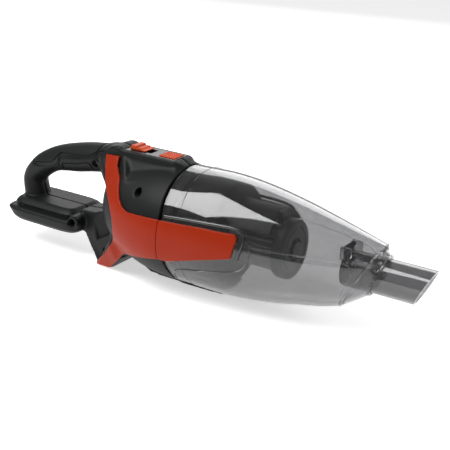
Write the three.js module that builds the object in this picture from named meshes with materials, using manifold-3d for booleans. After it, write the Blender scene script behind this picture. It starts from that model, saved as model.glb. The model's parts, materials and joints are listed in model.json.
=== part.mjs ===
// Cordless handheld vacuum cleaner: a bare tool with a battery foot, a clear dust cup and a short nozzle.
// Units are millimetres, +X points out of the nozzle and +Z is up. Lengths along X are first measured from
// the seam between the motor housing and the dust cup; the last lines move the origin to the middle of
// the footprint, on the surface that the vacuum stands on.
import * as THREE from "three";
import { mergeVertices } from "three/addons/utils/BufferGeometryUtils.js";
import Module from "manifold-3d";

const wasm = await Module();
wasm.setup();

// ---- driving dimensions -------------------------------------------------------------------------
const AXIS_Z = 59.5; // height of the motor and filter axis
const SEAM_HALF_HEIGHT = 57;
const SEAM_HALF_WIDTH = 60;
const SEAM_LEAN = -0.12; // the seam plane's lean, in mm of X for each mm of height above the axis
const SEAM_GAP = 0.4;
const HOUSING_WALL = 3;
const CUP_WALL = 2.2;
const GAP = 0.3; // clearance between pieces that touch
const HALF_GAP = 0.15; // each housing half stops this far from the middle plane

const HOUSING_LENGTH = 92; // seam to the back of the motor barrel
const CUP_LENGTH = 178; // seam to the middle of the cup's slanted front rim
const CUP_RIM_LEAN = 0.53;
const CUP_RIM_HALF_WIDTH = 25;
const CUP_RIM_TOP = 86;
const CUP_RIM_BOTTOM = 19.5;
const CUP_BEAK = 15.5; // rim to the nozzle's root, along the axis
const NOZZLE_ROOT_LEAN = 0.32;

const NOZZLE_RADIUS = 16.9;
const NOZZLE_WALL = 2;
const NOZZLE_TIP = 235.5; // seam to the middle of the slanted mouth
const NOZZLE_TIP_LEAN = 0.44;
const NOZZLE_Z = 57;

const HANDLE_REAR = 218.5; // seam to the back of the handle's post
const HANDLE_HALF_WIDTH = 17;
const GRIP_THICKNESS = 1.6;

const FOOT_TOP = 47;
const FOOT_BOTTOM = 23.5;
const FOOT_HALF_WIDTH = 34;
const FOOT_REAR = 223.5;
const FOOT_FRONT = 124;
const FOOT_EDGE = 38; // height of the flange's widest line
const FOOT_TOP_HALF_WIDTH = 23;

const BATTERY_SLOT_HALF_WIDTH = 24;
const BATTERY_LIP_HALF_WIDTH = 19;
const BATTERY_SLOT_DEPTH = 12;
const BATTERY_LIP = 4;
const BATTERY_SLOT_FRONT = 140;

const STRUT_HALF_WIDTH = 29;
const RAIL_HALF_WIDTH = 13;
const RAIL_FRONT = 45;

const PANEL_THICKNESS = 2.2;

const CONSOLE_TOP = 121.5;
const CONSOLE_HALF_WIDTH = 16;
const CONSOLE_REAR = 92;
const CONSOLE_FRONT = 10;
const PLATE_REAR = 79;
const PLATE_FRONT = 20.6;
const PLATE_HALF_WIDTH = 12;
const PLATE_THICKNESS = 3;

const SLIDER_REAR = 75.5;
const SLIDER_LENGTH = 18;
const SLIDER_HALF_WIDTH = 8;
const SLIDER_TRAVEL = 6;
const SLIDER_STEM_HALF_WIDTH = 4;
const SWITCH_TOP = CONSOLE_TOP - 13.5;

const BUTTON_REAR = 40.5;
const BUTTON_LENGTH = 18;
const BUTTON_HALF_WIDTH = 8.5;
const BUTTON_RISE = 1.4;
const BUTTON_ROOM = 2.5; // the button's pocket is this much wider than the button

const VENT_BOTTOM = 62;
const VENT_WIDTH = 3;
const VENT_PITCH = 6;

const MOTOR_RADIUS = 22.5;
const MOTOR_FRONT = 27;
const MOTOR_LENGTH = 52;
const SHAFT_RADIUS = 2.5;
const FAN_RADIUS = 41;
const FAN_BLADES = 9;
const SHROUD_RADIUS = 46;
const SHROUD_WALL = 2.5;
const SHROUD_INLET_RADIUS = 20;

const SPIGOT_RADIUS = 51;
const FILTER_COLLAR_RADIUS = 50.5;
const FILTER_COLLAR_END = 50;
const FILTER_ARM_RADIUS = 37;
const PLEAT_OUTER_RADIUS = 24;
const PLEAT_INNER_RADIUS = 19;
const PLEAT_COUNT = 26;
const FILTER_CAP_RADIUS = 28.4;
const FILTER_CAP_REAR = 98;
const FILTER_CAP_LENGTH = 11;

const FLAP_X = 163; // seam to the inner end of the inlet duct
const FLAP_THICKNESS = 1.6;
const FLAP_PIN_RADIUS = 1.2;

const SCREW_RADIUS = 1.9;
const SCREW_HEAD_RADIUS = 3.4;
const SCREW_HOLE_RADIUS = 3.9;
const SCREW_HEAD_Y = 8; // the heads sit this far from the middle plane, deep in their holes
const SCREW_LENGTH = 16;
const BOSS_WALL = 1.7;

// ---- materials ----------------------------------------------------------------------------------
const paint = (color, roughness, metalness = 0) =>
  new THREE.MeshStandardMaterial({ color, roughness, metalness });
const charcoal = paint(0x2c2d2e, 0.55);
const orange = paint(0xc2411c, 0.45);
const softBlack = paint(0x242526, 0.8);
const black = paint(0x161718, 0.5);
const smoke = paint(0x6b6c6e, 0.08);
smoke.transparent = true;
smoke.opacity = 0.4;
const paper = paint(0xc9c7bd, 0.9);
const rubber = paint(0x1a1a1a, 0.85);
const steel = paint(0x9a9da0, 0.35, 1);
const copper = paint(0xb87333, 0.35, 1);

// ---- solids -------------------------------------------------------------------------------------
function solid(geometry) {
  const bare = geometry.index ? geometry.toNonIndexed() : geometry.clone();
  bare.deleteAttribute("normal");
  bare.deleteAttribute("uv");
  const merged = mergeVertices(bare, 1e-4);
  const vertProperties = new Float32Array(merged.getAttribute("position").array);
  const triVerts = new Uint32Array(merged.index.array);
  return new wasm.Manifold(new wasm.Mesh({ numProp: 3, vertProperties, triVerts }));
}

const whole = (pieces) => pieces.reduce((sum, piece) => sum.add(piece));
const less = (base, ...cuts) => cuts.reduce((rest, cut) => rest.subtract(cut), base);

function box(x0, x1, y0, y1, z0, z1) {
  const geometry = new THREE.BoxGeometry(x1 - x0, y1 - y0, z1 - z0);
  return solid(geometry.translate((x0 + x1) / 2, (y0 + y1) / 2, (z0 + z1) / 2));
}

function outline(points) {
  return new THREE.Shape(points.map(([a, b]) => new THREE.Vector2(a, b)));
}

// A side profile in X and Z, with its full width across Y.
function sideProfile(points, y0, y1, bevel = 0) {
  const geometry = new THREE.ExtrudeGeometry(outline(points), {
    depth: y1 - y0 - 2 * bevel,
    bevelEnabled: bevel > 0,
    bevelThickness: bevel,
    bevelSize: bevel,
    bevelOffset: -bevel,
    bevelSegments: 2,
    curveSegments: 8,
  });
  return solid(geometry.rotateX(Math.PI / 2).translate(0, y1 - bevel, 0));
}

// A plan outline in X and Y, standing from z0 to z1.
function planProfile(shape, z0, z1, bevel = 0) {
  const geometry = new THREE.ExtrudeGeometry(shape, {
    depth: z1 - z0 - 2 * bevel,
    bevelEnabled: bevel > 0,
    bevelThickness: bevel,
    bevelSize: bevel,
    bevelOffset: -bevel,
    bevelSegments: 1,
    curveSegments: 6,
  });
  return solid(geometry.translate(0, 0, z0 + bevel));
}

function rodX(radius, x0, x1, z = AXIS_Z, sides = 32, y = 0) {
  const rod = new THREE.CylinderGeometry(radius, radius, x1 - x0, sides).rotateZ(-Math.PI / 2);
  return solid(rod.translate((x0 + x1) / 2, y, z));
}

function rodY(radius, y0, y1, x, z, sides = 16) {
  return solid(new THREE.CylinderGeometry(radius, radius, y1 - y0, sides).translate(x, (y0 + y1) / 2, z));
}

// A ring or cup turned about the motor axis, from points [x, radius] that close on themselves.
function turned(points, sides = 32, z = AXIS_Z) {
  const profile = [...points, points[0]].map(([x, radius]) => new THREE.Vector2(radius, x));
  const lathe = new THREE.LatheGeometry(profile, sides);
  return solid(lathe.rotateZ(-Math.PI / 2).translate(0, 0, z));
}

// Moves a cylinder's vertices onto a loft: place(t, a, b) gives the point for t along it, from 0 to 1, and
// a, b on the unit disc.
function loft(steps, sides, place) {
  const geometry = new THREE.CylinderGeometry(1, 1, 1, sides, steps);
  const position = geometry.getAttribute("position");
  const at = new THREE.Vector3();
  for (let i = 0; i < position.count; i++) {
    at.fromBufferAttribute(position, i);
    place(0.5 - at.y, at.x, at.z, at);
    position.setXYZ(i, at.x, at.y, at.z);
  }
  return solid(geometry);
}

const smoothCurve = (points) => new THREE.CatmullRomCurve3(points, false, "centripetal");

// A body lofted along X through stations, each {x, top, bottom, half, lean}, grown by an offset.
function stationLoft(stations, { grow = 0, steps = 10, sides = 32, endGrow = 0 }) {
  const curve = (pick) => smoothCurve(stations.map((s) => new THREE.Vector3(s.x, pick(s), 0)));
  const top = curve((s) => s.top);
  const bottom = curve((s) => s.bottom);
  const half = curve((s) => s.half);
  const lean = curve((s) => s.lean * 100);
  return loft(steps, sides, (t, a, b, at) => {
    const u = Math.min(Math.max(t, 0), 1);
    const high = top.getPoint(u);
    const low = bottom.getPoint(u);
    const middle = (high.y + low.y) / 2;
    const rise = (high.y - low.y) / 2 + grow;
    const z = middle + b * rise;
    const push = (2 * u - 1) * endGrow;
    at.set(high.x + push + (lean.getPoint(u).y / 100) * (z - middle), a * (half.getPoint(u).y + grow), z);
  });
}

// A bar swept through [x, z, halfThickness, halfWidth] points that lie in the middle plane.
function sweptBar(points, { grow = 0, steps = 24, sides = 24 }) {
  const line = smoothCurve(points.map(([x, z]) => new THREE.Vector3(x, 0, z)));
  const size = smoothCurve(points.map(([, , thick, wide], i) => new THREE.Vector3(thick, wide, i)));
  const across = new THREE.Vector3(0, 1, 0);
  return loft(steps, sides, (t, a, b, at) => {
    const centre = line.getPoint(t);
    const normal = line.getTangent(t).cross(across);
    const { x: thick, y: wide } = size.getPoint(t);
    at.copy(centre).addScaledVector(across, a * (wide + grow)).addScaledVector(normal, b * (thick + grow));
  });
}

const mirrored = (piece) => piece.mirror([0, 1, 0]);
const larger = (main, other) => (other.volume() > main.volume() ? other : main);
const mainBody = (piece) => piece.decompose().reduce(larger);

// ---- motor barrel and cup bodies ------------------------------------------------------------------
const SEAM_TOP = AXIS_Z + SEAM_HALF_HEIGHT;
const SEAM_BOTTOM = AXIS_Z - SEAM_HALF_HEIGHT;
const SEAM_STATION = { x: 0, top: SEAM_TOP, bottom: SEAM_BOTTOM, half: SEAM_HALF_WIDTH, lean: SEAM_LEAN };
const HOUSING_STATIONS = [
  { x: -HOUSING_LENGTH, top: 94, bottom: 48, half: 24, lean: 0 },
  { x: -HOUSING_LENGTH + 3, top: 101, bottom: 38, half: 33, lean: 0 },
  { x: -HOUSING_LENGTH + 12, top: 107, bottom: 27, half: 43, lean: 0 },
  { x: -HOUSING_LENGTH + 28, top: 110, bottom: 15, half: 51, lean: -0.03 },
  { x: -HOUSING_LENGTH + 49, top: 113, bottom: SEAM_BOTTOM + 4, half: 56.5, lean: -0.06 },
  { x: -22, top: SEAM_TOP - 1, bottom: SEAM_BOTTOM + 0.5, half: SEAM_HALF_WIDTH - 0.5, lean: -0.09 },
  SEAM_STATION,
];
const RIM_Z = (CUP_RIM_TOP + CUP_RIM_BOTTOM) / 2;
const RIM_HALF_HEIGHT = (CUP_RIM_TOP - CUP_RIM_BOTTOM) / 2;
const CUP_STATIONS = [
  SEAM_STATION,
  {
    x: CUP_LENGTH - 140,
    top: SEAM_TOP + 0.7,
    bottom: SEAM_BOTTOM - 0.5,
    half: SEAM_HALF_WIDTH - 1,
    lean: -0.06,
  },
  { x: CUP_LENGTH - 111, top: 114.4, bottom: 2.6, half: 56.3, lean: 0 },
  { x: CUP_LENGTH - 74, top: 107.2, bottom: 6.6, half: 50, lean: 0.08 },
  { x: CUP_LENGTH - 44, top: 98.6, bottom: 11.2, half: 42.5, lean: 0.25 },
  { x: CUP_LENGTH - 19, top: 91.4, bottom: 15, half: 33.5, lean: 0.4 },
  { x: CUP_LENGTH, top: CUP_RIM_TOP, bottom: CUP_RIM_BOTTOM, half: CUP_RIM_HALF_WIDTH, lean: CUP_RIM_LEAN },
];
const NOZZLE_ROOT = CUP_LENGTH + CUP_BEAK;

const barrel = (grow, endGrow = 0) => stationLoft(HOUSING_STATIONS, { grow, endGrow });
const cupBody = (grow, endGrow = 0) => stationLoft(CUP_STATIONS, { grow, endGrow });

// The slanted front between the cup's rim and the nozzle.
function cupFront(grow) {
  return loft(1, 32, (t, a, b, at) => {
    const tall = THREE.MathUtils.lerp(RIM_HALF_HEIGHT, NOZZLE_RADIUS + CUP_WALL, t) + grow;
    const wide = THREE.MathUtils.lerp(CUP_RIM_HALF_WIDTH, NOZZLE_RADIUS + CUP_WALL, t) + grow;
    const middle = THREE.MathUtils.lerp(RIM_Z, NOZZLE_Z, t);
    const lean = THREE.MathUtils.lerp(CUP_RIM_LEAN, NOZZLE_ROOT_LEAN, t);
    const x = THREE.MathUtils.lerp(CUP_LENGTH - 0.01, NOZZLE_ROOT, t) + (grow < 0 ? grow * 0.8 : 0);
    at.set(x + lean * b * tall, a * wide, middle + b * tall);
  });
}

// Everything ahead of the leaning seam plane, or ahead of a plane at some distance in front of it.
function aheadOfSeam(distance) {
  const edge = (z) => [SEAM_LEAN * (z - AXIS_Z) + distance, z];
  return sideProfile([edge(-60), [600, -60], [600, 260], edge(260)], -150, 150);
}

// ---- housing --------------------------------------------------------------------------------------
const POST_X = -HANDLE_REAR + 11.5;
const HANDLE_PATH = [
  [-66, 98, 14, HANDLE_HALF_WIDTH],
  [-94, 105.5, 17, HANDLE_HALF_WIDTH],
  [-110, 104, 15, HANDLE_HALF_WIDTH],
  [-130, 101, 15.2, HANDLE_HALF_WIDTH],
  [-146, 97.6, 15.2, HANDLE_HALF_WIDTH],
  [-162, 94.4, 14.2, HANDLE_HALF_WIDTH - 0.5],
  [-178, 89.5, 13, HANDLE_HALF_WIDTH - 1],
  [-195, 79.5, 12.5, HANDLE_HALF_WIDTH - 1.5],
  [POST_X, 66, 11.5, HANDLE_HALF_WIDTH - 2],
  [POST_X, 56, 11.8, HANDLE_HALF_WIDTH - 2],
  [POST_X + 2, 47, 12.5, HANDLE_HALF_WIDTH - 2],
  [POST_X + 3, 38, 12.5, HANDLE_HALF_WIDTH - 2],
];
// Levels of the battery foot, from its underside up: height, rear, front, half width.
const FOOT_LEVELS = [
  [FOOT_BOTTOM, -FOOT_REAR + 10, -FOOT_FRONT - 8, FOOT_HALF_WIDTH - 5],
  [FOOT_BOTTOM + 4, -FOOT_REAR + 6, -FOOT_FRONT - 2, FOOT_HALF_WIDTH - 1.5],
  [FOOT_EDGE - 3, -FOOT_REAR + 1, -FOOT_FRONT, FOOT_HALF_WIDTH],
  [FOOT_EDGE, -FOOT_REAR, -FOOT_FRONT - 1, FOOT_HALF_WIDTH - 1],
  [FOOT_TOP - 4, -FOOT_REAR + 5, -FOOT_FRONT - 8, FOOT_TOP_HALF_WIDTH + 4],
  [FOOT_TOP, -FOOT_REAR + 10, -FOOT_FRONT - 15, FOOT_TOP_HALF_WIDTH],
];
// The neck from the foot down to the leg, and the leg under each orange panel: X, Z and half width.
const NECK_PROFILE = [
  [-134, 27, 16],
  [-126, 23, 17],
  [-101, 0, 28],
  [-86, 0, 28],
  [-70, 22, 28],
  [-70, 60, 26],
  [-92, 58, 24],
  [-113, 49, 18],
  [-134, 47, 16],
];
const LEG_PROFILE = [
  [-101, 0, STRUT_HALF_WIDTH],
  [-81, 0, STRUT_HALF_WIDTH],
  [-66, 14, STRUT_HALF_WIDTH + 8],
  [-46, 32, STRUT_HALF_WIDTH + 17],
  [-50, 60, STRUT_HALF_WIDTH + 17],
  [-68, 60, STRUT_HALF_WIDTH + 17],
  [-74, 36, STRUT_HALF_WIDTH + 15],
  [-86, 20, STRUT_HALF_WIDTH + 9],
];
// The shoulder that carries each side panel from the barrel up to the handle.
const SHOULDER_PROFILE = [
  [-106, 94, HANDLE_HALF_WIDTH],
  [-106, 112, HANDLE_HALF_WIDTH],
  [-88, 117, CONSOLE_HALF_WIDTH],
  [-76, 117, CONSOLE_HALF_WIDTH + 1],
  [-66, 108, 28],
  [-58, 98, 38],
  [-72, 88, 42],
  [-88, 88, 32],
];
const CONSOLE_PROFILE = [
  [-CONSOLE_REAR - 14, CONSOLE_TOP - 9.5],
  [-CONSOLE_REAR - 4, CONSOLE_TOP],
  [-CONSOLE_REAR + 2, CONSOLE_TOP + 2.5],
  [-CONSOLE_REAR + 7, CONSOLE_TOP + 2.5],
  [-CONSOLE_REAR + 13, CONSOLE_TOP],
  [-CONSOLE_FRONT - 9, CONSOLE_TOP],
  [-CONSOLE_FRONT - 3, CONSOLE_TOP - 3],
  [-CONSOLE_FRONT, CONSOLE_TOP - 5],
  [-CONSOLE_FRONT, CONSOLE_TOP - 17.5],
  [-CONSOLE_REAR - 14, CONSOLE_TOP - 23.5],
];

// A side profile whose half width differs from point to point.
function taperedProfile(points, grow = 0) {
  const geometry = new THREE.ExtrudeGeometry(outline(points), { depth: 2, bevelEnabled: false });
  geometry.rotateX(Math.PI / 2).translate(0, 1, 0);
  const position = geometry.getAttribute("position");
  for (let i = 0; i < position.count; i++) {
    const [x, y, z] = [position.getX(i), position.getY(i), position.getZ(i)];
    const [, , half] = points.find(([px, pz]) => Math.hypot(px - x, pz - z) < 0.01);
    position.setY(i, Math.sign(y) * (half + grow));
  }
  return solid(geometry);
}

// The foot is a rounded plate whose outline changes from level to level.
function batteryFoot() {
  const corner = 5; // power of the superellipse that rounds the outline
  return loft(FOOT_LEVELS.length - 1, 32, (t, a, b, at) => {
    const [z, rear, front, half] = FOOT_LEVELS[Math.round(t * (FOOT_LEVELS.length - 1))];
    const reach = (Math.abs(a) ** corner + Math.abs(b) ** corner) ** (-1 / corner) || 0;
    const scale = Math.hypot(a, b) < 0.5 ? 0 : reach;
    at.set((rear + front) / 2 + a * scale * ((front - rear) / 2), b * scale * half, z);
  });
}

const strut = (grow = 0) =>
  whole([NECK_PROFILE, LEG_PROFILE, SHOULDER_PROFILE].map((points) => taperedProfile(points, grow)));
const handle = (grow, steps = 18, sides = 16) => sweptBar(HANDLE_PATH, { grow, steps, sides });

// The top and back of the handle, where the soft grip is moulded on.
const GRIP_OUTLINE = [
  [-104, 140],
  [-114, 112],
  [-122, 106.5],
  [-160, 103],
  [-170, 92],
  [-205, 84],
  [-219, 84],
  [-240, 80],
  [-240, 140],
];
const gripZone = () => sideProfile(GRIP_OUTLINE, -40, 40);

const SCREWS = [
  [-38.5, 94],
  [-58, 20],
  [-113, 100.5],
  [-132, 37],
  [-92, 14],
];
const SHROUD_REAR = -31;
const BULKHEAD_REAR = -11.5;
const BULKHEAD_FRONT = -6;
const MOTOR_REAR = -MOTOR_FRONT - MOTOR_LENGTH;
const SHELF_TOP = SWITCH_TOP - 9.6; // the deck that carries the switch
const SPRING_SEAT = SHELF_TOP + 1;

function screwCut(x, z) {
  return whole([
    rodY(SCREW_HOLE_RADIUS, -70, -SCREW_HEAD_Y, x, z, 12),
    rodY(SCREW_RADIUS + GAP, -SCREW_HEAD_Y - 1, SCREW_LENGTH - SCREW_HEAD_Y + 1, x, z, 10),
  ]);
}

// The console's front corners are cut off in plan.
function consolePlan() {
  const corner = 7;
  const front = -CONSOLE_FRONT;
  const half = CONSOLE_HALF_WIDTH;
  const right = [[-200, -half], [front - corner, -half], [front, corner - half]];
  const left = right.map(([x, y]) => [x, -y]).reverse();
  return planProfile(outline([...right, ...left]), 60, 160);
}

// The flat rail that the vacuum stands on, under the seam.
const RAIL_TOP = SEAM_BOTTOM + 9;
const RAIL_PROFILE = [
  [-56, RAIL_TOP],
  [-50, 4],
  [-44, 1],
  [-34, 0],
  [RAIL_FRONT - 4, 0],
  [RAIL_FRONT, 2],
  [RAIL_FRONT, RAIL_TOP],
];

function housingBody() {
  return whole([
    barrel(0),
    less(handle(0), gripZone()),
    handle(-GRIP_THICKNESS - GAP),
    batteryFoot(),
    strut(),
    sideProfile(CONSOLE_PROFILE, -CONSOLE_HALF_WIDTH, CONSOLE_HALF_WIDTH, 2).intersect(consolePlan()),
    sideProfile(RAIL_PROFILE, -RAIL_HALF_WIDTH, RAIL_HALF_WIDTH),
  ]);
}

// Ribs and decks that stay standing inside the hollow housing.
function housingRibs() {
  const bulkhead = less(
    box(BULKHEAD_REAR, BULKHEAD_FRONT, -80, 80, -10, 140),
    rodX(SHROUD_RADIUS + GAP, -20, 0, AXIS_Z, 40),
  );
  const motorRib = less(
    box(MOTOR_REAR + 2, MOTOR_REAR + 6, -80, 80, -10, 140),
    rodX(MOTOR_RADIUS - 1 + GAP, -120, 0, AXIS_Z),
  );
  const deck = box(-78, SHROUD_REAR - GAP, -60, 60, SHELF_TOP - 4, SHELF_TOP);
  const seat = box(-39.5, SHROUD_REAR - GAP, -5, 5, SHELF_TOP - 4, SPRING_SEAT);
  return whole([bulkhead, motorRib, deck, seat]);
}

// The undercut slot that a battery pack slides into, open at the back and below.
function batterySlot() {
  const top = FOOT_BOTTOM + BATTERY_SLOT_DEPTH;
  const opening = (half, bottom) => box(-FOOT_REAR - 2, -BATTERY_SLOT_FRONT, -half, half, bottom, top);
  return whole([
    opening(BATTERY_SLOT_HALF_WIDTH, FOOT_BOTTOM + BATTERY_LIP),
    opening(BATTERY_LIP_HALF_WIDTH, FOOT_BOTTOM - 10),
  ]);
}

// The pockets in the console for its plate, the power slider, the release button and the cup's tongue.
function consolePockets() {
  const pocket = (x0, x1, half, bottom, top) => box(x0, x1, -half, half, bottom, top);
  const under = CONSOLE_TOP - PLATE_THICKNESS - GAP;
  const floor = AXIS_Z + SHROUD_RADIUS + GAP;
  const tongueFloor = TONGUE_BOTTOM - TONGUE_ROOM;
  const sliderEnd = -SLIDER_REAR + SLIDER_LENGTH + SLIDER_TRAVEL + 1;
  const buttonEnd = -BUTTON_REAR + BUTTON_LENGTH + BUTTON_ROOM;
  return whole([
    pocket(-PLATE_REAR - GAP, -PLATE_FRONT + GAP, PLATE_HALF_WIDTH + GAP, under, CONSOLE_TOP + 20),
    pocket(-SLIDER_REAR - 2, sliderEnd, SLIDER_HALF_WIDTH, SHELF_TOP, CONSOLE_TOP),
    pocket(-BUTTON_REAR - 2, buttonEnd, BUTTON_HALF_WIDTH + BUTTON_ROOM, floor, CONSOLE_TOP),
    pocket(-BUTTON_REAR - 2, TOOTH_FRONT + TONGUE_ROOM, 6, floor, TONGUE_TOP),
    pocket(TONGUE_REAR - 1, 5, TONGUE_HALF_WIDTH + TONGUE_ROOM, tongueFloor, TONGUE_TOP + TONGUE_ROOM),
  ]);
}

function housing() {
  const body = less(
    housingBody(),
    aheadOfSeam(-SEAM_GAP / 2).subtract(box(-10, RAIL_FRONT + 1, -40, 40, -1, 20)),
    cupBody(0.5),
    box(-250, 60, -80, 80, -30, 0),
  );
  const barrelHollow = barrel(-HOUSING_WALL, 2).intersect(box(-HOUSING_LENGTH + 5, 20, -80, 80, -10, 140));
  const handleHollow = less(
    handle(-HOUSING_WALL - GRIP_THICKNESS, 12, 8),
    box(-260, -60, -60, 60, 0, FOOT_TOP - 4),
    housingRibs(),
  );
  const hollow = whole([
    less(barrelHollow, housingRibs()),
    handleHollow,
    batterySlot(),
    consolePockets(),
  ]);
  const vent = (z) => box(-HOUSING_LENGTH - 10, -HOUSING_LENGTH + 12, -16, 16, z, z + VENT_WIDTH);
  const vents = [0, 1, 2, 3, 4].map((i) => vent(VENT_BOTTOM + i * VENT_PITCH));
  const boss = ([x, z]) => rodY(SCREW_HOLE_RADIUS + BOSS_WALL, -54, 54, x, z, 16).intersect(barrel(-1));
  const bosses = SCREWS.slice(0, 2).map(boss);
  return whole([less(body, hollow, ...vents), ...bosses]);
}

// ---- orange panels --------------------------------------------------------------------------------
const PANEL_SPLIT = -3.5; // the cup's panels reach this far back over the housing
const HOUSING_PANEL = [
  [PANEL_SPLIT - SEAM_GAP, 78.5],
  [-25, 77.5],
  [-43, 76.5],
  [-50, 79],
  [-56, 84],
  [-63, 93.5],
  [-68, 100],
  [-77, 108],
  [-80, 116],
  [-98, 114],
  [-94, 103],
  [-87, 92],
  [-77, 85],
  [-68, 76],
  [-62.5, 66],
  [-61, 56],
  [-63, 46],
  [-69, 35],
  [-82, 19.4],
  [-99.6, 3.2],
  [-99.6, -1],
  [-83.5, -1],
  [-68, 13.5],
  [-56, 26],
  [-51.5, 28.6],
  [PANEL_SPLIT - SEAM_GAP, 39.5],
];
const CUP_PANEL = [
  [PANEL_SPLIT, 78.5],
  [PANEL_SPLIT, 39.5],
  [6, 40],
  [43, 51.5],
  [73.5, 59.5],
  [77, 78],
  [74, 81.5],
  [39, 81],
];
const PANEL_INNER_Y = -12;
const PANEL_OUTSIDE = PANEL_THICKNESS + GAP;

const prism = (points) => sideProfile(points, -90, PANEL_INNER_Y);

function housingPanel() {
  const skin = whole([barrel(PANEL_OUTSIDE), handle(PANEL_OUTSIDE), strut(PANEL_OUTSIDE)]);
  const under = whole([barrel(GAP), handle(GAP), strut(GAP)]);
  return mainBody(less(skin.intersect(prism(HOUSING_PANEL)), under, box(-300, 300, -100, 100, -10, 0)));
}

function cupPanel() {
  const skin = whole([cupBody(PANEL_OUTSIDE), barrel(PANEL_OUTSIDE)]);
  return mainBody(less(skin.intersect(prism(CUP_PANEL)), cupBody(GAP), barrel(GAP)));
}

// ---- dust cup and nozzle --------------------------------------------------------------------------
const TONGUE_TOP = SEAM_TOP - 0.6;
const TONGUE_BOTTOM = TONGUE_TOP - 2.2;
const TONGUE_REAR = -20;
const TONGUE_HALF_WIDTH = 7;
const TOOTH_REAR = -16.5;
const TOOTH_FRONT = -13.5;
const TONGUE_ROOM = 0.6; // clearance all round the tongue in its slot

function dustCup() {
  const outer = whole([cupBody(0), cupFront(0)]);
  const inner = whole([cupBody(-CUP_WALL, 1), cupFront(-CUP_WALL)]);
  const shell = less(outer, inner, rodX(NOZZLE_RADIUS + GAP, FLAP_X, NOZZLE_TIP, NOZZLE_Z, 32));
  const tongue = less(
    box(TONGUE_REAR, 0, -TONGUE_HALF_WIDTH, TONGUE_HALF_WIDTH, TONGUE_BOTTOM, TONGUE_TOP),
    box(TOOTH_REAR - 0.6, TOOTH_FRONT + 0.6, -5.6, 5.6, TONGUE_BOTTOM - 1, TONGUE_TOP + 1),
  );
  return whole([shell.intersect(aheadOfSeam(SEAM_GAP / 2)), tongue]);
}

const NOZZLE_INNER_END = CUP_LENGTH - 6;

function nozzleTube() {
  const leaned = (radius, x0, x1) =>
    loft(1, 32, (t, a, b, at) => {
      const x = t < 0.5 ? x0 : x1 + NOZZLE_TIP_LEAN * b * radius;
      at.set(x, a * radius, NOZZLE_Z + b * radius);
    });
  const bore = leaned(NOZZLE_RADIUS - NOZZLE_WALL, NOZZLE_INNER_END - 2, NOZZLE_TIP + 0.02);
  return leaned(NOZZLE_RADIUS, NOZZLE_INNER_END, NOZZLE_TIP).subtract(bore);
}

const FLAP_HINGE_Z = NOZZLE_Z + NOZZLE_RADIUS + 2.6;

function inletDuct() {
  const end = NOZZLE_INNER_END - GAP;
  const tube = rodX(NOZZLE_RADIUS, FLAP_X, end, NOZZLE_Z);
  const ear = (y) => box(FLAP_X - 4, FLAP_X + 6, y - 1.5, y + 1.5, NOZZLE_Z + 8, FLAP_HINGE_Z + 2.6);
  return less(
    whole([tube, ear(-12), ear(12)]),
    rodX(NOZZLE_RADIUS - NOZZLE_WALL, FLAP_X - 8, CUP_LENGTH, NOZZLE_Z),
    rodX(NOZZLE_RADIUS + GAP, FLAP_X - 8, FLAP_X, NOZZLE_Z),
    rodY(FLAP_PIN_RADIUS + GAP, -20, 20, FLAP_X - 1.6, FLAP_HINGE_Z, 12),
  );
}

function inletFlap() {
  const x = FLAP_X - GAP - FLAP_THICKNESS;
  const disc = rodX(NOZZLE_RADIUS - 0.6, x, FLAP_X - GAP, NOZZLE_Z);
  const knuckle = rodY(FLAP_PIN_RADIUS + GAP + 0.9, -10, 10, FLAP_X - 1.6, FLAP_HINGE_Z, 12);
  const web = box(x, FLAP_X - GAP, -9, 9, NOZZLE_Z + 10, FLAP_HINGE_Z);
  const pinHole = rodY(FLAP_PIN_RADIUS + GAP, -20, 20, FLAP_X - 1.6, FLAP_HINGE_Z, 12);
  return less(whole([disc, knuckle, web]), pinHole);
}

// ---- filter ---------------------------------------------------------------------------------------
const SPIGOT_FRONT = 6;
const SPIGOT_WALL = 3;

function filterFrame() {
  const seat = SPIGOT_RADIUS - SPIGOT_WALL - GAP;
  const inner = FILTER_COLLAR_RADIUS - 2.5;
  const start = SPIGOT_FRONT + 1;
  const collar = turned([
    [1, seat - 2.5],
    [1, seat],
    [start, seat],
    [start, FILTER_COLLAR_RADIUS],
    [FILTER_COLLAR_END - 4, FILTER_COLLAR_RADIUS - 1],
    [FILTER_COLLAR_END, FILTER_COLLAR_RADIUS - 5],
    [FILTER_COLLAR_END, PLEAT_INNER_RADIUS - 4],
    [FILTER_COLLAR_END - 3, PLEAT_INNER_RADIUS - 4],
    [FILTER_COLLAR_END - 3, inner - 4],
    [FILTER_COLLAR_END - 6, inner - 1],
    [start, seat - 2.5],
  ]);
  const nose = FILTER_CAP_REAR - GAP;
  const arm = rodX(FILTER_ARM_RADIUS, FILTER_COLLAR_END - 1, nose, AXIS_Z, 36)
    .subtract(rodX(FILTER_ARM_RADIUS - 3, FILTER_COLLAR_END, nose + 10, AXIS_Z, 36))
    .intersect(
      sideProfile(
        [
          [40, AXIS_Z + 16],
          [nose, AXIS_Z + 20],
          [nose - 1, AXIS_Z + 31],
          [nose - 8, AXIS_Z + 40],
          [40, AXIS_Z + 40],
        ],
        -40,
        40,
      ),
    );
  const tip = box(nose - 5, nose, -9, 9, AXIS_Z + FILTER_CAP_RADIUS - 4, AXIS_Z + FILTER_ARM_RADIUS - 1);
  return whole([collar, arm, tip]);
}

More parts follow.
